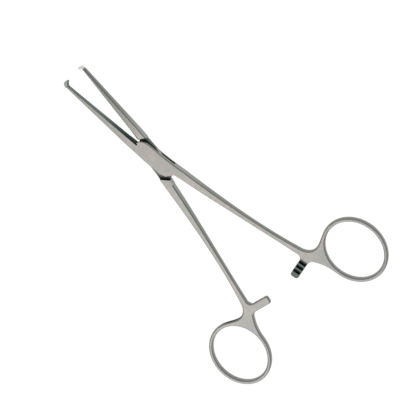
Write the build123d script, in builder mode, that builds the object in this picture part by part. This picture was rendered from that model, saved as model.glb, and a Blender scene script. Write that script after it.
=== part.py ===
from build123d import *

import os
from math import cos, radians, sin

# Straight haemostatic forceps with a box lock, finger rings, a ratchet and one-into-two tip teeth.
# Millimetres. +X runs from the lock to the jaw tips, +Z is up, and the origin is on the face that
# the lock rests on, under its pin. Each arm is shaped closed, with its jaw on the +Y side of the
# X axis, and is then turned open about the pin. The arm with the tongue is turned over first.

# Opening drawn: degrees that each arm stands away from closed
half_opening = 5.8

# Lock: two cheeks of the one arm hold the tongue of the other
box_thick = 5.2
box_half_width = 4.2
box_flare = 0.55  # extra half width at the rear shoulder
box_front = 14.0  # from the pin to where the jaw begins to taper
box_rear = 16.0  # from the pin to where the shank begins to taper
box_edge_round = 0.7
cheek_thick = 1.55
tongue_side_gap = 0.05  # between the tongue and each cheek
cheek_front_gap = 0.4  # between a cheek's front end and the other arm's shoulder when closed
cheek_rear_gap = 0.9  # and at its rear end
tongue_end_gap = 0.8  # between the ends of the tongue and the ends of the mortise when closed
shoulder_gap = 0.15  # kept free beside the tongue's shoulders
jaw_crotch = 12.0  # from the pin to the corner between the jaws
jaw_shoulder = 9.7  # from the pin to the outer end of the front shoulder
shank_crotch = 13.4  # from the pin to the corner between the shanks
shank_crotch_side = 0.5  # how far that corner lies off the centre plane
shank_shoulder = 9.6  # from the pin to the outer end of the rear shoulder
front_nose_long = 4.0  # rounded corner where a cheek's front end meets the lock's side
front_nose_deep = 1.1
rear_nose_long = 3.4  # and its rear end
rear_nose_deep = 0.5
pin_radius = 1.2
pin_running_gap = 0.05

# Jaws
jaw_length = 58.4  # from the pin to the tip
jaw_face_gap = 0.08  # from the centre plane to a closed clamping face
jaw_root_width = 3.65
jaw_tip_width = 1.45
jaw_tip_thick = 2.7
jaw_tip_round = 1.0
jaw_face_round = 0.25
serration_pitch = 1.0
serration_depth = 0.3
serration_margin = 2.5  # smooth face left at the lock

# Tip teeth
tooth_reach = 1.7  # past the centre plane
tooth_length = 2.3  # along the jaw
tooth_point = 0.7
tooth_hollow_at = 0.7  # from the root of the tooth to the deepest place of its hollow
tooth_hollow_side = 0.6
tooth_brow_side = 0.3  # foremost place of the tip
tooth_back_at = 1.0  # from the tip to where the back of the tooth begins
tooth_back_side = 1.15
single_tooth_thick = 0.9
tooth_side_gap = 0.12

# Shanks
shank_end = 84.0  # from the pin to where the shank spreads into its ring, along the centre plane
shank_end_side = 11.3  # from the centre plane
shank_root_side = 2.85
shank_bow = 0.75
shank_root_width = 4.2
shank_middle_width = 3.2  # half way to the waist
shank_waist_width = 2.6
shank_waist_at = 0.62  # share of the shank's length
shank_end_width = 3.3
shank_slim_thick = 3.3
slim_edge_round = 0.8  # on the shank's thin part, its ring and its bar

# Finger rings: an oval bow, joined to its shank by a web
ring_back = 20.4  # from the end of the shank to the middle of the ring, along the centre plane
ring_out = 19.05  # and away from it
ring_inner_long = 15.5  # half of the opening's length
ring_inner_short = 13.0  # half of the opening's width
ring_wire = 2.05
ring_turn = -2.3  # degrees from the X axis when closed
web_front_angle = 18.0  # degrees round the oval to where the web leaves it in front
web_back_angle = 97.0  # and behind
front_hollow_back = 5.4  # hollow between shank and ring: from the end of the shank, backwards
front_hollow_out = 5.6  # and outwards
back_hollow_back = 10.7  # hollow between bar and ring, in the same way
back_hollow_out = 1.35

# Ratchet
bar_behind = 3.2  # from the end of the shank to the front side of the bar
bar_width = 4.3
box_bar_past_centre = 1.3  # bar of the arm with the cheeks
tongue_bar_past_centre = 0.7
bar_lean = 6.5  # degrees that the bar leans back
bar_root_round = 2.4  # where its front side runs out into the shank
bar_back_run = 1.6  # height up its back side at which the web's hollow ends
bar_end_round = 1.3
ratchet_gap = 0.2  # between the two rows of teeth as they pass
tooth_pitch = 2.6
tooth_depth = 0.85
tooth_land = 0.9  # flat top of each tooth
tooth_count = 3
bar_step_at = 0.9  # from the root of the bar to where it steps down to half its thickness
end_land = 2.7  # flat between the last tooth and the bar's end

# Worked out from the sizes above
tongue_thick = box_thick - 2 * cheek_thick - 2 * tongue_side_gap
jaw_back = jaw_face_gap + jaw_root_width
jaw_end = jaw_length - tooth_length
front_slant = (jaw_crotch - jaw_shoulder) / box_half_width
rear_slant = (shank_crotch - shank_shoulder) / (box_half_width + box_flare - shank_crotch_side)
reach = shank_end  # longer than anything that a cut has to pass


def section(place, heading, width, thick, low_round, high_round):
    # one upright cross-section of an arm, square to the way that the arm runs there
    across = Vector(-heading.Y, heading.X)
    with BuildSketch(Plane(origin=place, x_dir=across, z_dir=heading)) as profile:
        Rectangle(width, thick)
        fillet(profile.vertices().group_by(Axis.X)[0], low_round)
        fillet(profile.vertices().group_by(Axis.X)[-1], high_round)
    return profile.sketch


def jaw():
    # the jaw narrows and thins to its tip, with a flat clamping face and a rounded back
    root = Vector(box_front, jaw_face_gap + jaw_root_width / 2)
    tip = Vector(jaw_end, jaw_face_gap + jaw_tip_width / 2)
    forwards = Vector(1, 0)
    with BuildPart() as body:
        loft(
            [
                section(root, forwards, jaw_root_width, box_thick, jaw_face_round, box_edge_round),
                section(tip, forwards, jaw_tip_width, jaw_tip_thick, jaw_face_round, jaw_tip_round),
            ]
        )
    return body.part


def serrations():
    # cross grooves along the clamping face
    run = jaw_end - box_front - serration_margin
    half = serration_pitch / 2
    with BuildPart() as grooves:
        with BuildSketch():
            for groove in range(int(run / serration_pitch)):
                x = box_front + serration_margin + half + groove * serration_pitch
                with BuildLine():
                    Polyline(
                        (x - half, jaw_face_gap),
                        (x, jaw_face_gap + serration_depth),
                        (x + half, jaw_face_gap),
                        (x, -serration_depth),
                        close=True,
                    )
                make_face()
        extrude(amount=box_thick, both=True)
    return grooves.part


def shank_middle(share):
    # middle of the shank at a share of its length: a straight line bowed by a parabola
    out = shank_root_side + (shank_end_side - shank_root_side) * share
    return Vector(
        -box_rear - (shank_end - box_rear) * share,
        -out + 4 * shank_bow * share * (1 - share),
    )


def shank_heading(share):
    # unit vector along the shank there, towards the lock: the slope of the same parabola
    slope = Vector(
        shank_end - box_rear,
        shank_end_side - shank_root_side - 4 * shank_bow * (1 - 2 * share),
    )
    return slope.normalized()


def shank_side(share, offset):
    # point beside the middle of the shank, on the ring's side for a negative offset
    heading = shank_heading(share)
    return shank_middle(share) + Vector(-heading.Y, heading.X) * offset


def shank():
    # the shank slims from the lock to a waist and widens again before the ring
    half_thick = (box_thick + shank_slim_thick) / 2
    half_round = (box_edge_round + slim_edge_round) / 2
    profile = (
        (1, shank_end_width, shank_slim_thick, slim_edge_round),
        (shank_waist_at, shank_waist_width, shank_slim_thick, slim_edge_round),
        (shank_waist_at / 2, shank_middle_width, half_thick, half_round),
        (0, shank_root_width, box_thick, box_edge_round),
    )
    stations = []
    for share, width, thick, edge in profile:
        place = shank_middle(share)
        stations.append(section(place, shank_heading(share), width, thick, edge, edge))
    with BuildPart() as body:
        loft(stations)
    return body.part


def lock_block(front_gap, rear_gap):
    # middle of an arm, between its two slanted ends, with rounded long sides
    front_out = -box_half_width + front_nose_deep
    rear_out = box_half_width - rear_nose_deep
    front_outer = Vector(jaw_crotch - front_gap + front_slant * front_out, front_out)
    rear_end = -shank_crotch + rear_gap - rear_slant * shank_crotch_side
    rear_outer = Vector(rear_end + rear_slant * rear_out, rear_out)
    rear_crotch = Vector(rear_end - rear_slant * shank_crotch_side, -shank_crotch_side)
    root_low = shank_side(0, -shank_root_width / 2)
    root_high = shank_side(0, shank_root_width / 2)
    forwards = Vector(1, 0)
    low_middle = (0, -box_half_width)
    high_middle = (0, box_half_width)
    low_nose = (front_outer.X - front_nose_long, -box_half_width)
    high_nose = (rear_outer.X + rear_nose_long, box_half_width)
    with BuildPart() as block:
        with BuildSketch():
            with BuildLine():
                Spline(root_low, low_middle, tangents=(shank_heading(0), forwards))
                Line(low_middle, low_nose)
                TangentArc(low_nose, front_outer, tangent=forwards)
                Polyline(front_outer, (jaw_crotch - front_gap, jaw_face_gap), (box_front, jaw_face_gap))
                Line((box_front, jaw_face_gap), (box_front, jaw_back))
                Spline((box_front, jaw_back), high_middle, tangents=(forwards * -1, forwards * -1))
                Line(high_middle, high_nose)
                TangentArc(high_nose, rear_outer, tangent=forwards * -1)
                Polyline(rear_outer, rear_crotch, root_high, root_low)
            make_face()
        extrude(amount=box_thick / 2, both=True)
        rims = block.edges().group_by(Axis.Z)
        sides = [edge for edge in rims[0] + rims[-1] if abs(edge.center().Y) > 3 * box_half_width / 4]
        fillet(sides, box_edge_round)
    return block.part


def crossing(gap):
    # plan of the passage between the two slanted shoulders of one arm, open on its other sides
    far = 4 * box_half_width
    with BuildSketch() as plan:
        with BuildLine():
            Polyline(
                (reach, 0),
                (jaw_crotch + gap, 0),
                (jaw_crotch + gap - front_slant * far, far),
                (-reach, far),
                (-reach, -shank_crotch_side),
                (-shank_crotch - gap, -shank_crotch_side),
                (-shank_crotch - gap + rear_slant * far, -shank_crotch_side - far),
                (reach, -shank_crotch_side - far),
                close=True,
            )
        make_face()
    return plan.sketch


def bar_corner():
    # where the front side of the ratchet bar meets the inner side of the shank
    return shank_side(1, shank_end_width / 2) - shank_heading(1) * bar_behind


def bar_heading():
    # unit vector across the bar, towards its front side
    return Vector(cos(radians(bar_lean)), sin(radians(bar_lean)))


def ring_and_bar(bar_past_centre):
    # the oval bow, the web that joins it to the shank, and the blank of the ratchet bar
    long = ring_inner_long + ring_wire
    short = ring_inner_short + ring_wire
    turn = radians(ring_turn)
    middle = Vector(-shank_end - ring_back, -shank_end_side - ring_out)
    oval_plane = Plane(origin=middle, x_dir=(cos(turn), sin(turn), 0))
    low_side = shank_side(1, -shank_end_width / 2)
    high_side = shank_side(1, shank_end_width / 2)
    backwards = shank_heading(1) * -1
    front_corner = bar_corner()
    back_corner = front_corner - bar_heading() * bar_width
    bar_length = (bar_past_centre - front_corner.Y) / cos(radians(bar_lean))
    bar_run = Vector(-bar_heading().Y, bar_heading().X)
    bar_end = (front_corner + back_corner) / 2 + bar_run * bar_length

    def on_oval(angle):
        place = Vector(long * cos(radians(angle)), short * sin(radians(angle)))
        return oval_plane.from_local_coords(place)

    def along_oval(angle):
        return Vector(
            -long * sin(radians(angle)) * cos(turn) - short * cos(radians(angle)) * sin(turn),
            -long * sin(radians(angle)) * sin(turn) + short * cos(radians(angle)) * cos(turn),
        )

    with BuildSketch() as plan:
        with BuildLine():
            Line(high_side, low_side)
            Spline(
                low_side,
                Vector(-shank_end - front_hollow_back, -shank_end_side - front_hollow_out),
                on_oval(web_front_angle),
                tangents=(backwards, along_oval(web_front_angle) * -1),
            )
            Polyline(on_oval(web_front_angle), middle, on_oval(web_back_angle))
            Spline(
                on_oval(web_back_angle),
                Vector(-shank_end - back_hollow_back, -shank_end_side - back_hollow_out),
                back_corner + bar_run * bar_back_run,
                tangents=(along_oval(web_back_angle) * -1, bar_run),
            )
            Polyline(back_corner + bar_run * bar_back_run, back_corner, front_corner, high_side)
        make_face()
        with Locations(Location(((front_corner + back_corner) / 2 + bar_end) / 2, bar_lean)):
            Rectangle(bar_width, bar_length)
        fillet(plan.vertices().sort_by_distance(front_corner)[0], bar_root_round)
        fillet(plan.vertices().sort_by_distance(bar_end)[:2], bar_end_round)

    with BuildSketch(oval_plane) as bow:
        Ellipse(long, short)

    with BuildPart() as body:
        with BuildSketch():
            add(plan.sketch)
            add(bow.sketch)
        extrude(amount=shank_slim_thick / 2, both=True)
        with BuildSketch(oval_plane):
            Ellipse(ring_inner_long, ring_inner_short)
        extrude(amount=shank_slim_thick, both=True, mode=Mode.SUBTRACT)
        rims = body.edges().group_by(Axis.Z)
        for rim in (rims[0], rims[-1]):
            fillet([edge for edge in rim if edge.center().X < -shank_end - slim_edge_round], slim_edge_round)
    return body.part


def ratchet_cut(bar_past_centre):
    # upper half of the bar, and the notches below it, each with a gentle and a steep side
    lean = radians(bar_lean)
    root = bar_corner() - bar_heading() * bar_width / 2
    length = (bar_past_centre - root.Y) / cos(lean)
    top = -ratchet_gap / 2
    with BuildPart() as cut:
        with BuildSketch(Plane(origin=root, x_dir=(-sin(lean), cos(lean), 0), z_dir=bar_heading())):
            with Locations(((bar_step_at + length) / 2 + bar_width / 2, top + box_thick / 2)):
                Rectangle(length - bar_step_at + bar_width, box_thick)
            for tooth in range(tooth_count):
                crest = length - end_land - tooth * tooth_pitch
                with BuildLine():
                    Polyline(
                        (crest, top + tooth_depth),
                        (crest, top - tooth_depth),
                        (crest - tooth_pitch + tooth_land, top),
                        (crest - tooth_pitch + tooth_land, top + tooth_depth),
                        close=True,
                    )
                make_face()
        extrude(amount=bar_width, both=True)
    return cut.part


def tip_hook():
    # the end of a jaw, hooked over towards the other jaw and rounded to a blunt point
    back = jaw_face_gap + jaw_tip_width
    point = jaw_length - tooth_point / 2
    with BuildPart() as body:
        with BuildSketch():
            with BuildLine():
                Line((jaw_end, back), (jaw_end, jaw_face_gap))
                ThreePointArc(
                    (jaw_end, jaw_face_gap),
                    (jaw_end + tooth_hollow_at, -tooth_hollow_side),
                    (point - tooth_point, -tooth_reach),
                )
                Line((point - tooth_point, -tooth_reach), (point, -tooth_reach))
                ThreePointArc(
                    (point, -tooth_reach),
                    (jaw_length, -tooth_brow_side),
                    (jaw_length - tooth_back_at, tooth_back_side),
                )
                Line((jaw_length - tooth_back_at, tooth_back_side), (jaw_end, back))
            make_face()
        extrude(amount=jaw_tip_thick / 2, both=True)
    return body.part


# Arm with the cheeks: its mortise runs between them, its two teeth flank the notch in its tip
with BuildPart() as box_arm_closed:
    add(lock_block(cheek_front_gap, cheek_rear_gap))
    add(jaw())
    add(shank())
    add(ring_and_bar(box_bar_past_centre))
    add(ratchet_cut(box_bar_past_centre), mode=Mode.SUBTRACT)
    add(tip_hook())
    add(serrations(), mode=Mode.SUBTRACT)
    with BuildSketch(Plane.XY):
        add(crossing(0))
    extrude(amount=tongue_thick / 2 + tongue_side_gap, both=True, mode=Mode.SUBTRACT)
    with Locations((jaw_end + tooth_length, 0, 0)):
        Box(2 * tooth_length, 4 * tooth_reach, single_tooth_thick + 2 * tooth_side_gap, mode=Mode.SUBTRACT)
    Cylinder(pin_radius, 2 * box_thick, mode=Mode.SUBTRACT)

# Arm with the tongue: cut back above and below the tongue, and beside its single tooth
with BuildPart() as tongue_arm_closed:
    add(lock_block(tongue_end_gap, tongue_end_gap))
    add(jaw())
    add(shank())
    add(ring_and_bar(tongue_bar_past_centre))
    add(ratchet_cut(tongue_bar_past_centre), mode=Mode.SUBTRACT)
    add(tip_hook())
    add(serrations(), mode=Mode.SUBTRACT)
    for side in (1, -1):
        with BuildSketch(Plane.XY.offset(side * tongue_thick / 2)):
            add(crossing(shoulder_gap))
        extrude(amount=side * box_thick, mode=Mode.SUBTRACT)
        with Locations((jaw_end + tooth_length, 0, side * (single_tooth_thick + jaw_tip_thick) / 2)):
            Box(2 * tooth_length, 4 * tooth_reach, jaw_tip_thick, mode=Mode.SUBTRACT)
    Cylinder(pin_radius + pin_running_gap, 2 * box_thick, mode=Mode.SUBTRACT)

with BuildPart() as box_arm:
    with Locations(Location((0, 0, box_thick / 2), (0, 0, half_opening))):
        add(box_arm_closed.part)
box_arm.part.label = "box_arm"

# Turned over about the X axis, so that its ratchet teeth look down on the other arm's
with BuildPart() as tongue_arm:
    with Locations(Location((0, 0, box_thick / 2), (180, 0, half_opening))):
        add(tongue_arm_closed.part)
tongue_arm.part.label = "tongue_arm"

# Pin, driven through both cheeks and ground flush with them
with BuildPart() as pivot_pin:
    with Locations((0, 0, box_thick / 2)):
        Cylinder(pin_radius, box_thick)
pivot_pin.part.label = "pivot_pin"

os.makedirs("parts", exist_ok=True)
export_step(box_arm.part, "parts/box_arm.step")
export_step(tongue_arm.part, "parts/tongue_arm.step")
export_step(pivot_pin.part, "parts/pivot_pin.step")
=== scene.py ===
import math

import bpy
from mathutils import Matrix, Vector

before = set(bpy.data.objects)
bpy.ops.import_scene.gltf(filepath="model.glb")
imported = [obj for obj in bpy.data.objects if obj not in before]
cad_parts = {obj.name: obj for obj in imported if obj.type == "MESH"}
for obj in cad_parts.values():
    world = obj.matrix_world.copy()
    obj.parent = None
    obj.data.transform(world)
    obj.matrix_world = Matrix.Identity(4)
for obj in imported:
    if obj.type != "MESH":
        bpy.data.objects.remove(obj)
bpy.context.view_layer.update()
print("frame loaded:", sorted(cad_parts))

# View: the photograph looks down on the forceps, tipped a little from straight above.
viewSettings = {
    "tilt": 19.93,  # degrees from straight down
    "tiltSwing": 2.45,  # which way the view is tipped, in degrees from square to the long axis
    "turn": 44.14,  # degrees that the long axis is turned in the picture
    "axisTrim": -0.225,  # small turn about the upright axis, in degrees
    "aim": (-0.03086, -0.00144, 0.0026),  # what the middle of the picture looks at
    "distance": 0.6857,
    "lens": 124.19,
    "sensor": 36.0,
    "nearest": 0.01,  # it sees nothing nearer
    "farthest": 20.0,
}


def makeCamera(settings):
    # Looks along (0, sin tilt, -cos tilt). Two directions square to that, one crosswise and one
    # lengthwise, are turned by the turn angle, which gives the picture's right and up. Then all
    # three are swung about the upright axis.
    tilt = math.radians(settings["tilt"])
    swing = math.radians(settings["tiltSwing"])
    turn = math.radians(settings["turn"]) + swing
    look = Vector((0.0, math.sin(tilt), -math.cos(tilt)))
    crosswise = Vector((0.0, -math.cos(tilt), -math.sin(tilt)))
    lengthwise = Vector((-1.0, 0.0, 0.0))
    right = math.cos(turn) * crosswise + math.sin(turn) * lengthwise
    up = math.sin(turn) * crosswise - math.cos(turn) * lengthwise
    upright = Matrix.Rotation(swing + math.radians(settings["axisTrim"]), 3, "Z")
    basis = upright @ Matrix((right, up, -look)).transposed()
    place = Vector(settings["aim"]) + basis.col[2] * settings["distance"]
    data = bpy.data.cameras.new("photoView")
    data.lens = settings["lens"]
    data.sensor_width = settings["sensor"]
    data.clip_start = settings["nearest"]
    data.clip_end = settings["farthest"]
    camera = bpy.data.objects.new("photoView", data)
    camera.matrix_world = Matrix.Translation(place) @ basis.to_4x4()
    bpy.context.scene.collection.objects.link(camera)
    bpy.context.scene.camera = camera


makeCamera(viewSettings)
print("camera set")


def feed(tree, term, socket):
    # Gives a socket its term: another node's output, a tint of three numbers, or a number.
    if isinstance(term, bpy.types.NodeSocket):
        tree.links.new(term, socket)
    elif isinstance(term, tuple):
        socket.default_value = (*term, 1.0)
    else:
        socket.default_value = term


def addMath(tree, operation, first, second=0.0, clamp=False):
    # One arithmetic node on two terms.
    node = tree.nodes.new("ShaderNodeMath")
    node.operation = operation
    node.use_clamp = clamp
    feed(tree, first, node.inputs[0])
    feed(tree, second, node.inputs[1])
    return node.outputs[0]


def addProduct(tree, *terms):
    # All the terms multiplied with each other.
    product = terms[0]
    for term in terms[1:]:
        product = addMath(tree, "MULTIPLY", product, term)
    return product


def addFade(tree, value, off, on):
    # 0 where the value is at off, 1 where it is at on, straight between and level beyond.
    node = tree.nodes.new("ShaderNodeMapRange")
    for term, label in ((value, "Value"), (off, "From Min"), (on, "From Max")):
        feed(tree, term, node.inputs[label])
    return node.outputs["Result"]


def addMix(tree, share, first, second):
    # The colour that lies the share of the way from the first to the second.
    node = tree.nodes.new("ShaderNodeMix")
    node.data_type = "RGBA"
    for term, place in ((share, 0), (first, 6), (second, 7)):
        feed(tree, term, node.inputs[place])
    return node.outputs[2]


def addParts(tree, vector):
    # The three parts of a vector.
    node = tree.nodes.new("ShaderNodeSeparateXYZ")
    tree.links.new(vector, node.inputs[0])
    return node.outputs


# Studio: one wide soft lamp overhead, on the side away from the camera, and a grey room that is
# pale low down, so that edges turned to the camera's side go dark as in the photograph.
studioSettings = {
    "roomColor": (0.40, 0.425, 0.41),
    "roomLowColor": (0.85, 0.86, 0.86),
    "roomLowEdge": (0.10, 0.42),  # heights, as parts of one, between which low turns to high
    "overheadPlace": (-0.95, 1.28, 1.15),
    "overheadSize": (2.5, 2.14),
    "overheadPower": 17.9,
    "floorColor": (0.88, 0.88, 0.88),
    "floorWhite": 1.12,  # what the camera and reflections see of it, mixed in by the next share
    "floorShare": 0.85,
    "floorSize": 5.0,
}


def makeRoom(settings):
    # Grey above, pale near the horizon, by the height of the direction looked at.
    world = bpy.data.worlds.new("quietRoom")
    bpy.context.scene.world = world
    world.use_nodes = True
    tree = world.node_tree
    direction = tree.nodes.new("ShaderNodeTexCoord").outputs["Generated"]
    high = addFade(tree, addParts(tree, direction)[2], *settings["roomLowEdge"])
    colour = addMix(tree, high, settings["roomLowColor"], settings["roomColor"])
    tree.links.new(colour, tree.nodes["Background"].inputs["Color"])


def makeLamp(settings):
    # A flat rectangle that faces straight down.
    data = bpy.data.lights.new("overheadSoft", "AREA")
    data.shape = "RECTANGLE"
    data.size, data.size_y = settings["overheadSize"]
    data.energy = settings["overheadPower"]
    lamp = bpy.data.objects.new("overheadSoft", data)
    lamp.location = settings["overheadPlace"]
    bpy.context.scene.collection.objects.link(lamp)


def makeFloor(settings):
    # A square that takes the forceps' shadow, and that the camera and the steel's reflections see
    # nearly white: surface = mix(matte, glow, seen x share).
    half = settings["floorSize"] / 2
    mesh = bpy.data.meshes.new("paleFloor")
    corners = [(-half, -half, 0.0), (half, -half, 0.0), (half, half, 0.0), (-half, half, 0.0)]
    mesh.from_pydata(corners, [], [(0, 1, 2, 3)])
    floor = bpy.data.objects.new("paleFloor", mesh)
    bpy.context.scene.collection.objects.link(floor)
    material = bpy.data.materials.new("paleFloor")
    material.use_nodes = True
    tree = material.node_tree
    tree.nodes.clear()
    output = tree.nodes.new("ShaderNodeOutputMaterial")
    matte = tree.nodes.new("ShaderNodeBsdfDiffuse")
    feed(tree, settings["floorColor"], matte.inputs["Color"])
    glow = tree.nodes.new("ShaderNodeEmission")
    feed(tree, settings["floorWhite"], glow.inputs["Strength"])
    path = tree.nodes.new("ShaderNodeLightPath")
    seen = addMath(tree, "MAXIMUM", path.outputs["Is Camera Ray"], path.outputs["Is Glossy Ray"])
    seen = addMath(tree, "MAXIMUM", seen, path.outputs["Is Transmission Ray"])
    both = tree.nodes.new("ShaderNodeMixShader")
    tree.links.new(addProduct(tree, seen, settings["floorShare"]), both.inputs[0])
    tree.links.new(matte.outputs[0], both.inputs[1])
    tree.links.new(glow.outputs[0], both.inputs[2])
    tree.links.new(both.outputs[0], output.inputs["Surface"])
    mesh.materials.append(material)


makeRoom(studioSettings)
makeLamp(studioSettings)
makeFloor(studioSettings)
bpy.context.scene.view_settings.view_transform = "Standard"
print("studio set")


# Patterns: each is a node group, made once from its dictionary and placed in each steel with that
# steel's own values. A pair called a fade, or with no other note, leads from the value where there
# is none to the value where it is full. Places are those on an arm laid closed: along from the pin
# to the jaw's tip, side towards the jaw, height from the middle plane.


def newGroup(name, tints, numbers, outputs):
    # An empty node group with a Vector input, then its tints and numbers. An output is a number,
    # but Color is a colour. Comes with the sockets that lead in and out, as seen from inside.
    group = bpy.data.node_groups.new(name, "ShaderNodeTree")
    face = group.interface
    face.new_socket("Vector", in_out="INPUT", socket_type="NodeSocketVector")
    for label in tints:
        face.new_socket(label, in_out="INPUT", socket_type="NodeSocketColor")
    for label in numbers:
        face.new_socket(label, in_out="INPUT", socket_type="NodeSocketFloat")
    for label in outputs:
        kind = "NodeSocketColor" if label == "Color" else "NodeSocketFloat"
        face.new_socket(label, in_out="OUTPUT", socket_type=kind)
    given = group.nodes.new("NodeGroupInput").outputs
    result = group.nodes.new("NodeGroupOutput").inputs
    return group, given, result


def addNoise(tree, vector, scale, detail, roughness=0.5):
    # Soft noise about one half.
    noise = tree.nodes.new("ShaderNodeTexNoise")
    terms = ((vector, "Vector"), (scale, "Scale"), (detail, "Detail"), (roughness, "Roughness"))
    for term, label in terms:
        feed(tree, term, noise.inputs[label])
    return noise.outputs["Fac"]


def addStretch(tree, vector, factors, turn=0.0):
    # The same coordinates turned about the upright axis, then squeezed along each axis.
    node = tree.nodes.new("ShaderNodeMapping")
    node.vector_type = "TEXTURE"
    node.inputs["Rotation"].default_value = (0.0, 0.0, math.radians(turn))
    node.inputs["Scale"].default_value = tuple(1.0 / factor for factor in factors)
    tree.links.new(vector, node.inputs["Vector"])
    return node.outputs[0]


mottlePattern = {
    "broadDetail": 2.0,
    "broadFade": (0.35, 0.65),
    "fineDetail": 4.0,
    "fineRoughness": 0.6,
    "fineFade": (0.36, 0.64),
}


def makeMottleGroup(pattern):
    # Three tints mixed by two soft noises, one broad and one fine:
    # colour = mix(mix(base, warm, broad), cool, fine x amount).
    group, given, result = newGroup(
        "steelMottle",
        ("Base Tint", "Warm Tint", "Cool Tint"),
        ("Broad Scale", "Fine Scale", "Fine Amount"),
        ("Color",),
    )
    vector = given["Vector"]
    broad = addNoise(group, vector, given["Broad Scale"], pattern["broadDetail"])
    fine = addNoise(
        group, vector, given["Fine Scale"], pattern["fineDetail"], pattern["fineRoughness"]
    )
    warm = addFade(group, broad, *pattern["broadFade"])
    cool = addProduct(group, addFade(group, fine, *pattern["fineFade"]), given["Fine Amount"])
    colour = addMix(group, warm, given["Base Tint"], given["Warm Tint"])
    group.links.new(addMix(group, cool, colour, given["Cool Tint"]), result["Color"])
    return group


brushPattern = {
    "stretch": (0.06, 1.0, 1.0),  # along the arm, where the lines run long
    "detail": 5.0,
    "roughness": 0.65,
}


def makeBrushGroup(pattern):
    # Fine brushing: height = noise on coordinates squeezed along the arm.
    group, given, result = newGroup("steelBrush", (), ("Scale",), ("Height",))
    run = addStretch(group, given["Vector"], pattern["stretch"])
    lines = addNoise(group, run, given["Scale"], pattern["detail"], pattern["roughness"])
    group.links.new(lines, result["Height"])
    return group


marksPattern = {
    "turns": (28.0, -47.0),  # degrees from the arm's length
    "stretch": (0.035, 1.0, 1.0),
    "detail": 2.0,
    "peakFade": (0.66, 0.72),
    "patchScale": 170.0,
    "patchDetail": 1.0,
    "patchFade": (0.45, 0.6),
}


def makeMarksGroup(pattern):
    # Handling marks: thin lines in two directions, each where a long stretched noise peaks,
    # kept only in patches: mask = max(line one, line two) x patches.
    group, given, result = newGroup("handlingMarks", (), ("Scale",), ("Mask",))
    lines = []
    for turn in pattern["turns"]:
        run = addStretch(group, given["Vector"], pattern["stretch"], turn)
        noise = addNoise(group, run, given["Scale"], pattern["detail"])
        lines.append(addFade(group, noise, *pattern["peakFade"]))
    patches = addNoise(group, given["Vector"], pattern["patchScale"], pattern["patchDetail"])
    patches = addFade(group, patches, *pattern["patchFade"])
    group.links.new(addProduct(group, addMath(group, "MAXIMUM", *lines), patches), result["Mask"])
    return group


recessPattern = {
    "frontSlant": 0.548,  # how much the front shoulder falls back for each part to the side
    "frontHalf": (-0.0001, 0.0),  # side from which the front shoulder counts
    "rearSlant": 0.894,  # how much the rear shoulder falls back likewise
    "rearCorner": 0.0005,  # how far its corner is past the middle, on the other side
    "rearHalf": (-0.0004, -0.0005),
    "pastShoulder": (0.00006, 0.00012),  # distance past a shoulder's line where the recess ends
    "nearPin": (0.0148, 0.0146),
    "overHeight": (0.00004, 0.0),
    "overSide": (0.0, 0.00004),
    "sideHeight": (0.00098, 0.00094),  # height up to which what is past Side is left out
    "frontShade": (-0.003, -0.002),
    "edgeShade": (0.0006, 0.0012),
    "shadeSide": (0.0034, 0.0028),
    "shadeAlong": (-0.005, -0.003),
    "rearShade": (-0.0032, -0.0009),
    # side within which the painted shade inside the lock is lighter
    "lessShadeSide": (0.0030, 0.0026),
}


def makeRecessGroup(pattern):
    # Inside of the lock, which the arms' steel covers with painted shade: everything between the
    # two slanted shoulders of an arm, up to a height. Each shoulder is a line in plan, place =
    # start - slant x side, one on each side of the middle. Shade is 1 in the corners at the
    # shoulders and along the front edge, where the painted shade is darkest. The last output is 1
    # over the tongue's middle, all but its front outer side, where the painted shade is lighter.
    group, given, result = newGroup(
        "lockRecess", (), ("Front", "Rear", "Height", "Side"), ("Mask", "Shade", "Less Shade")
    )
    along, side, height = addParts(group, given["Vector"])
    aside = addMath(group, "ABSOLUTE", side)
    thick = addMath(group, "ABSOLUTE", height)
    front = addMath(group, "ADD", along, addProduct(group, side, pattern["frontSlant"]))
    front = addMath(group, "SUBTRACT", front, given["Front"])
    rear = addMath(group, "ADD", side, pattern["rearCorner"])
    rear = addMath(group, "SUBTRACT", addProduct(group, rear, -pattern["rearSlant"]), along)
    rear = addMath(group, "SUBTRACT", rear, given["Rear"])
    inside = 1.0
    for distance, half in ((front, "frontHalf"), (rear, "rearHalf")):
        past = addFade(group, distance, *pattern["pastShoulder"])
        past = addProduct(group, addFade(group, side, *pattern[half]), past)
        inside = addMath(group, "SUBTRACT", inside, past, clamp=True)
    near = addFade(group, addMath(group, "ABSOLUTE", along), *pattern["nearPin"])
    low = addMath(group, "SUBTRACT", thick, given["Height"])
    low = addFade(group, low, *pattern["overHeight"])
    edge = addMath(group, "SUBTRACT", aside, given["Side"])
    edge = addFade(group, edge, *pattern["overSide"])
    edge = addProduct(group, edge, addFade(group, thick, *pattern["sideHeight"]))
    mask = addProduct(group, inside, near, low, addMath(group, "SUBTRACT", 1.0, edge))
    group.links.new(mask, result["Mask"])
    shade = addFade(group, front, *pattern["frontShade"])
    shade = addMath(group, "MAXIMUM", shade, addFade(group, side, *pattern["edgeShade"]))
    shade = addProduct(
        group,
        shade,
        addFade(group, side, *pattern["shadeSide"]),
        addFade(group, along, *pattern["shadeAlong"]),
    )
    shade = addMath(group, "MAXIMUM", shade, addFade(group, rear, *pattern["rearShade"]))
    group.links.new(shade, result["Shade"])
    group.links.new(addFade(group, side, *pattern["lessShadeSide"]), result["Less Shade"])
    return group


clampPattern = {
    "overDepth": (0.00006, 0.0),  # distance past the layer's depth
    "lockEnd": (0.0104, 0.0106),
    "tipEnd": (0.0565, 0.0556),
    "alongFade": (0.017, 0.034),
    "tipFade": (0.0560, 0.0567),
}


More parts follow.
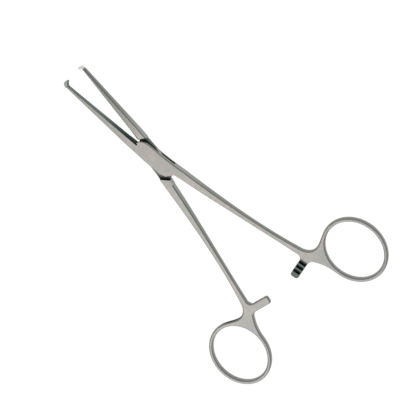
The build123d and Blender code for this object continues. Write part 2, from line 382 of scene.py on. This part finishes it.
def makeClampGroup(pattern):
    # The clamping face: a thin layer where the jaws meet, from the lock to the tip teeth, which
    # the arms' steel covers with painted shade from the jaws shading each other. Along runs from 0
    # at the lock to 1 at mid-jaw and beyond. Tip is the last part, with the teeth. Mask = layer x
    # lock end x tip end.
    group, given, result = newGroup("clampFace", (), ("Depth",), ("Mask", "Along", "Tip"))
    along, side, _ = addParts(group, given["Vector"])
    layer = addMath(group, "SUBTRACT", addMath(group, "ABSOLUTE", side), given["Depth"])
    mask = addProduct(
        group,
        addFade(group, layer, *pattern["overDepth"]),
        addFade(group, along, *pattern["lockEnd"]),
        addFade(group, along, *pattern["tipEnd"]),
    )
    group.links.new(mask, result["Mask"])
    group.links.new(addFade(group, along, *pattern["alongFade"]), result["Along"])
    group.links.new(addFade(group, along, *pattern["tipFade"]), result["Tip"])
    return group


notchPattern = {
    "barPlace": (-0.08957, -0.01044, 0.0),  # the bar's root, from which the rest is measured
    "barTurn": 6.5,  # degrees from square to the arm
    "pitch": 0.0026,
    "notchLength": (0.00182, 0.0017),
    "firstNotch": (-0.00005, 0.00005),
    "lastNotch": (0.0070, 0.0069),
    "notchWidth": (0.00214, 0.00206),
    "notchTop": (-0.00011, -0.00016),
    "notchFloor": (-0.0011, -0.001),
    "faceFloor": (-0.0003, -0.0002),
    "faceTop": (-0.00004, -0.00008),
    "faceRun": (0.0008, 0.0009),
    "faceWidth": (0.0028, 0.0026),
}


def makeNotchGroup(pattern):
    # Notches of the ratchet: across the bar's top, each as long as given before a crest, the
    # crests a pitch apart: mask = 1 where (first crest - place) modulo pitch is under the notch's
    # length. Face is the flat that the notches are cut into, out to the bar's end.
    group, given, result = newGroup("ratchetNotches", (), ("First Crest",), ("Mask", "Face"))
    turned = group.nodes.new("ShaderNodeMapping")
    turned.vector_type = "TEXTURE"
    turned.inputs["Location"].default_value = pattern["barPlace"]
    turned.inputs["Rotation"].default_value = (0.0, 0.0, math.radians(pattern["barTurn"]))
    group.links.new(given["Vector"], turned.inputs["Vector"])
    across, run, height = addParts(group, turned.outputs[0])
    across = addMath(group, "ABSOLUTE", across)
    back = addMath(group, "SUBTRACT", given["First Crest"], run)
    within = addMath(group, "FLOORED_MODULO", back, pattern["pitch"])
    mask = addProduct(
        group,
        addFade(group, within, *pattern["notchLength"]),
        addFade(group, back, *pattern["firstNotch"]),
        addFade(group, back, *pattern["lastNotch"]),
        addFade(group, across, *pattern["notchWidth"]),
        addFade(group, height, *pattern["notchTop"]),
        addFade(group, height, *pattern["notchFloor"]),
    )
    group.links.new(mask, result["Mask"])
    face = addProduct(
        group,
        addFade(group, height, *pattern["faceFloor"]),
        addFade(group, height, *pattern["faceTop"]),
        addFade(group, run, *pattern["faceRun"]),
        addFade(group, across, *pattern["faceWidth"]),
    )
    group.links.new(face, result["Face"])
    return group


regionPattern = {
    "hollowFull": 0.55,  # part of the reach within which the hollow is full
    "backSlant": 0.22,
    "backFade": (0.0, 0.0007),  # distance before the slanted line
}


def makeRegionGroup(pattern):
    # Regions by place on the arm. Ring = fade from the ratchet bar back to the finger ring.
    # Lock = fade of the distance from the pin. Hollow, where the sides get painted shade, = fade
    # of the distance in plan, square root of the sum of squares, from the place between shank and
    # ring, and nothing behind the slanted line along + slant x side = Hollow Back, so that the
    # wall inside the ring gets none of that painted shade.
    numbers = ("Ring Start", "Ring Full", "Lock Start", "Lock Full")
    numbers += ("Hollow Along", "Hollow Side", "Hollow Reach", "Hollow Back")
    group, given, result = newGroup("armRegions", (), numbers, ("Ring", "Lock", "Hollow"))
    along, side, _ = addParts(group, given["Vector"])
    ring = addFade(group, along, given["Ring Start"], given["Ring Full"])
    group.links.new(ring, result["Ring"])
    lock = addMath(group, "ABSOLUTE", along)
    group.links.new(addFade(group, lock, given["Lock Start"], given["Lock Full"]), result["Lock"])
    back = addMath(group, "SUBTRACT", along, given["Hollow Along"])
    out = addMath(group, "SUBTRACT", side, given["Hollow Side"])
    squares = addMath(group, "ADD", addProduct(group, back, back), addProduct(group, out, out))
    full = addProduct(group, given["Hollow Reach"], pattern["hollowFull"])
    hollow = addFade(group, addMath(group, "SQRT", squares), given["Hollow Reach"], full)
    front = addMath(group, "ADD", along, addProduct(group, side, pattern["backSlant"]))
    front = addMath(group, "SUBTRACT", front, given["Hollow Back"])
    front = addFade(group, front, *pattern["backFade"])
    group.links.new(addProduct(group, hollow, front), result["Hollow"])
    return group


groups = {
    "mottle": makeMottleGroup(mottlePattern),
    "regions": makeRegionGroup(regionPattern),
    "brush": makeBrushGroup(brushPattern),
    "marks": makeMarksGroup(marksPattern),
    "recess": makeRecessGroup(recessPattern),
    "clamp": makeClampGroup(clampPattern),
    "notch": makeNotchGroup(notchPattern),
}
print("node groups made")

# Satin stainless steel. The patterns are laid out on each arm as if it were closed, with its jaw
# on the positive side, so turnedOver and angle lead from the shown arm back to that place.
boxArmSettings = {
    "angle": 5.8,
    "turnedOver": False,
    "middleHeight": 0.0026,
    "tint": (0.402, 0.37, 0.347),
    "warmTint": (0.468, 0.40, 0.38),
    "coolTint": (0.308, 0.338, 0.306),
    "mottle": {"Broad Scale": 110.0, "Fine Scale": 620.0, "Fine Amount": 0.62},
    "brush": {"Scale": 4200.0},
    "marks": {"Scale": 2600.0},
    "marksShare": 0.5,  # how far a mark goes over to the cool tint
    "marksDull": 0.08,  # added to the roughness where a mark is, as the other dull values are
    "roughness": (0.27, 0.36),
    "bump": 0.14,
    "bumpDistance": 0.0001,
    "sideShadeFade": (0.86, 0.2),  # how upright a face's normal is, from flat to side, for the sides' painted shade
    "sideShadeTint": (0.168, 0.194, 0.17),  # painted shade on edges and sides, darker than the flats
    "regions": {
        "Ring Start": -0.089,
        "Ring Full": -0.102,
        "Lock Start": 0.030,
        "Lock Full": 0.014,
        "Hollow Along": -0.0883,
        "Hollow Side": -0.0195,
        "Hollow Reach": 0.0096,
        "Hollow Back": -0.0948,
    },
    "ringShare": 0.75,  # how far the ring goes over to its own tints
    "ringTint": (0.345, 0.348, 0.345),
    # The sides' painted shade is lighter on the ring and at the lock.
    "ringSideShadeTint": (0.215, 0.23, 0.216),
    "lockSideShadeTint": (0.25, 0.278, 0.248),
    "hollowShadeTint": (0.168, 0.194, 0.17),  # as the other sides' painted shade, so no extra painted shade in the hollow on this arm
    "hollowDull": 0.0,
    "recess": {"Front": 0.0120, "Rear": 0.0134, "Height": 0.00108, "Side": 0.01},
    # Painted shade, darkest, inside the lock and in the ratchet's notches.
    "recessShadeTint": (0.02, 0.028, 0.025),
    "recessOuterShadeTint": (0.112, 0.138, 0.126),  # painted shade on the outer side at the front
    "recessDull": 0.15,
    # Lighter painted shade over the middle of the tongue.
    "recessLessShadeTint": (0.21, 0.225, 0.212),
    "notch": {"First Crest": 0.00912},
    # Painted shade on the ratchet bar's flat around the notches.
    "ratchetShadeTint": (0.118, 0.135, 0.122),
    "clamp": {"Depth": 0.00042},
    # Painted shade on the clamping face, near black at the lock, lighter towards the tip.
    "clampNearShadeTint": (0.004, 0.032, 0.024),
    "clampFarShadeTint": (0.115, 0.158, 0.148),
    "clampDull": 0.32,  # at the lock, and half of it towards the tip
    "jawShadeShare": 0.0,  # painted shade: how far the jaw goes over to the side tint towards the tip
    # Painted shade: the box arm's tip teeth a little darker.
    "tipPaintedLightTint": (0.32, 0.365, 0.33),
}
tongueArmSettings = {
    **boxArmSettings,
    "turnedOver": True,
    "hollowShadeTint": (0.006, 0.012, 0.009),  # painted shade, dark between shank and ring
    "hollowDull": 0.42,
    # Past Side are the tongue's own sides, which are finished with the arm.
    "recess": {"Front": 0.01215, "Rear": 0.01355, "Height": 0.0030, "Side": 0.00412},
    "notch": {"First Crest": 0.00851},
    # Painted shade on the jaw, growing towards its tip.
    "jawShadeShare": 0.4,
    # Painted highlight on the tongue arm's tip teeth.
    "tipPaintedLightTint": (0.66, 0.66, 0.645),
}
pivotPinSettings = {**boxArmSettings, "angle": 45.0, "roughness": (0.25, 0.33)}


def placeGroup(tree, name, vector, values):
    # A pattern's node with the values of one steel. Comes with its outputs.
    node = tree.nodes.new("ShaderNodeGroup")
    node.node_tree = groups[name]
    tree.links.new(vector, node.inputs["Vector"])
    for label, value in values.items():
        feed(tree, value, node.inputs[label])
    return node.outputs


def addRough(tree, rough, mask, amount):
    # The roughness with an amount more where the mask is 1.
    return addMath(tree, "ADD", rough, addProduct(tree, mask, amount))


def startSteel(name, settings):
    # Common satin finish: mottled tint, brushing in roughness and bump, handling marks, and tints
    # by region: top = mix(mix(mottle, ring tint, ring), cool tint, marks). Upright faces get
    # painted shade, a darker side tint, lighter on the ring and at the lock and darkest in the
    # hollow.
    material = bpy.data.materials.new(name)
    material.use_nodes = True
    tree = material.node_tree
    steel = tree.nodes["Principled BSDF"]
    steel.inputs["Metallic"].default_value = 1.0
    place = tree.nodes.new("ShaderNodeTexCoord")
    closed = tree.nodes.new("ShaderNodeMapping")
    over = -1.0 if settings["turnedOver"] else 1.0
    closed.inputs["Scale"].default_value = (1.0, over, over)
    closed.inputs["Rotation"].default_value = (0.0, 0.0, math.radians(-settings["angle"]))
    closed.inputs["Location"].default_value = (0.0, 0.0, -settings["middleHeight"] * over)
    tree.links.new(place.outputs["Object"], closed.inputs["Vector"])
    vector = closed.outputs[0]
    tints = {
        "Base Tint": settings["tint"],
        "Warm Tint": settings["warmTint"],
        "Cool Tint": settings["coolTint"],
    }
    mottle = placeGroup(tree, "mottle", vector, {**tints, **settings["mottle"]})["Color"]
    brush = placeGroup(tree, "brush", vector, settings["brush"])["Height"]
    marks = placeGroup(tree, "marks", vector, settings["marks"])["Mask"]
    regions = placeGroup(tree, "regions", vector, settings["regions"])
    upright = addMath(tree, "ABSOLUTE", addParts(tree, place.outputs["Normal"])[2])
    side = addFade(tree, upright, *settings["sideShadeFade"])
    ringPart = addProduct(tree, regions["Ring"], settings["ringShare"])
    colour = addMix(tree, ringPart, mottle, settings["ringTint"])
    marked = addProduct(tree, marks, settings["marksShare"])
    colour = addMix(tree, marked, colour, settings["coolTint"])
    # Painted shade on upright faces: a darker tint, lighter on the ring and at the lock.
    sideShadeTint = addMix(tree, ringPart, settings["sideShadeTint"], settings["ringSideShadeTint"])
    sideShadeTint = addMix(tree, regions["Lock"], sideShadeTint, settings["lockSideShadeTint"])
    sideShadeTint = addMix(tree, regions["Hollow"], sideShadeTint, settings["hollowShadeTint"])
    colour = addMix(tree, side, colour, sideShadeTint)
    polish = tree.nodes.new("ShaderNodeMapRange")
    tree.links.new(brush, polish.inputs["Value"])
    for value, label in zip(settings["roughness"], ("To Min", "To Max")):
        feed(tree, value, polish.inputs[label])
    rough = addRough(tree, polish.outputs["Result"], marks, settings["marksDull"])
    # The hollow's sides, which carry painted shade, are also rougher.
    hollowShadeSides = addProduct(tree, regions["Hollow"], side)
    rough = addRough(tree, rough, hollowShadeSides, settings["hollowDull"])
    bump = tree.nodes.new("ShaderNodeBump")
    bump.inputs["Strength"].default_value = settings["bump"]
    bump.inputs["Distance"].default_value = settings["bumpDistance"]
    tree.links.new(brush, bump.inputs["Height"])
    tree.links.new(bump.outputs["Normal"], steel.inputs["Normal"])
    return material, vector, colour, rough


def finishSteel(material, colour, rough):
    # The colour and the roughness go into the steel's shader.
    tree = material.node_tree
    steel = tree.nodes["Principled BSDF"]
    tree.links.new(colour, steel.inputs["Base Color"])
    tree.links.new(rough, steel.inputs["Roughness"])
    return material


def makeArmSteel(name, settings):
    # An arm's steel gets painted shade on its clamping face, in the lock, on the ratchet's flat
    # and in its notches, and towards the jaw's tip. The tip teeth get a painted highlight on the
    # tongue arm and painted shade on the box arm.
    material, vector, colour, rough = startSteel(name, settings)
    tree = material.node_tree
    clamp = placeGroup(tree, "clamp", vector, settings["clamp"])
    recess = placeGroup(tree, "recess", vector, settings["recess"])
    notch = placeGroup(tree, "notch", vector, settings["notch"])
    clampShadeTint = addMix(tree, clamp["Along"], settings["clampNearShadeTint"], settings["clampFarShadeTint"])
    recessShadeTint = addMix(tree, recess["Less Shade"], settings["recessOuterShadeTint"], settings["recessLessShadeTint"])
    recessShadeTint = addMix(tree, recess["Shade"], recessShadeTint, settings["recessShadeTint"])
    # Painted shade on the jaw towards its tip, then the tip teeth's painted highlight or shade.
    jawShade = addProduct(tree, clamp["Along"], settings["jawShadeShare"])
    for mask, tint in (
        (jawShade, settings["sideShadeTint"]),
        (clamp["Tip"], settings["tipPaintedLightTint"]),
        (clamp["Mask"], clampShadeTint),
        (notch["Face"], settings["ratchetShadeTint"]),
        (notch["Mask"], settings["recessShadeTint"]),
        (recess["Mask"], recessShadeTint),
    ):
        colour = addMix(tree, mask, colour, tint)
    dark = addMath(tree, "MAXIMUM", recess["Mask"], notch["Mask"])
    rough = addRough(tree, rough, dark, settings["recessDull"])
    dull = addProduct(tree, clamp["Along"], settings["clampDull"] / 2)
    dull = addMath(tree, "SUBTRACT", settings["clampDull"], dull)
    rough = addRough(tree, rough, clamp["Mask"], dull)
    return finishSteel(material, colour, rough)


def makePinSteel(name, settings):
    # The pin's ends are ground with the cheeks, so they match them but for the brushing's way.
    material, _, colour, rough = startSteel(name, settings)
    return finishSteel(material, colour, rough)


def dress(nodeName, material):
    # A CAD node gets its material, and its mesh stays as it is.
    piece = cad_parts[nodeName]
    piece.data.materials.clear()
    piece.data.materials.append(material)


dress("box_arm", makeArmSteel("boxArmSteel", boxArmSettings))
dress("tongue_arm", makeArmSteel("tongueArmSteel", tongueArmSettings))
dress("pivot_pin", makePinSteel("pivotPinSteel", pivotPinSettings))
print("steel on every piece")
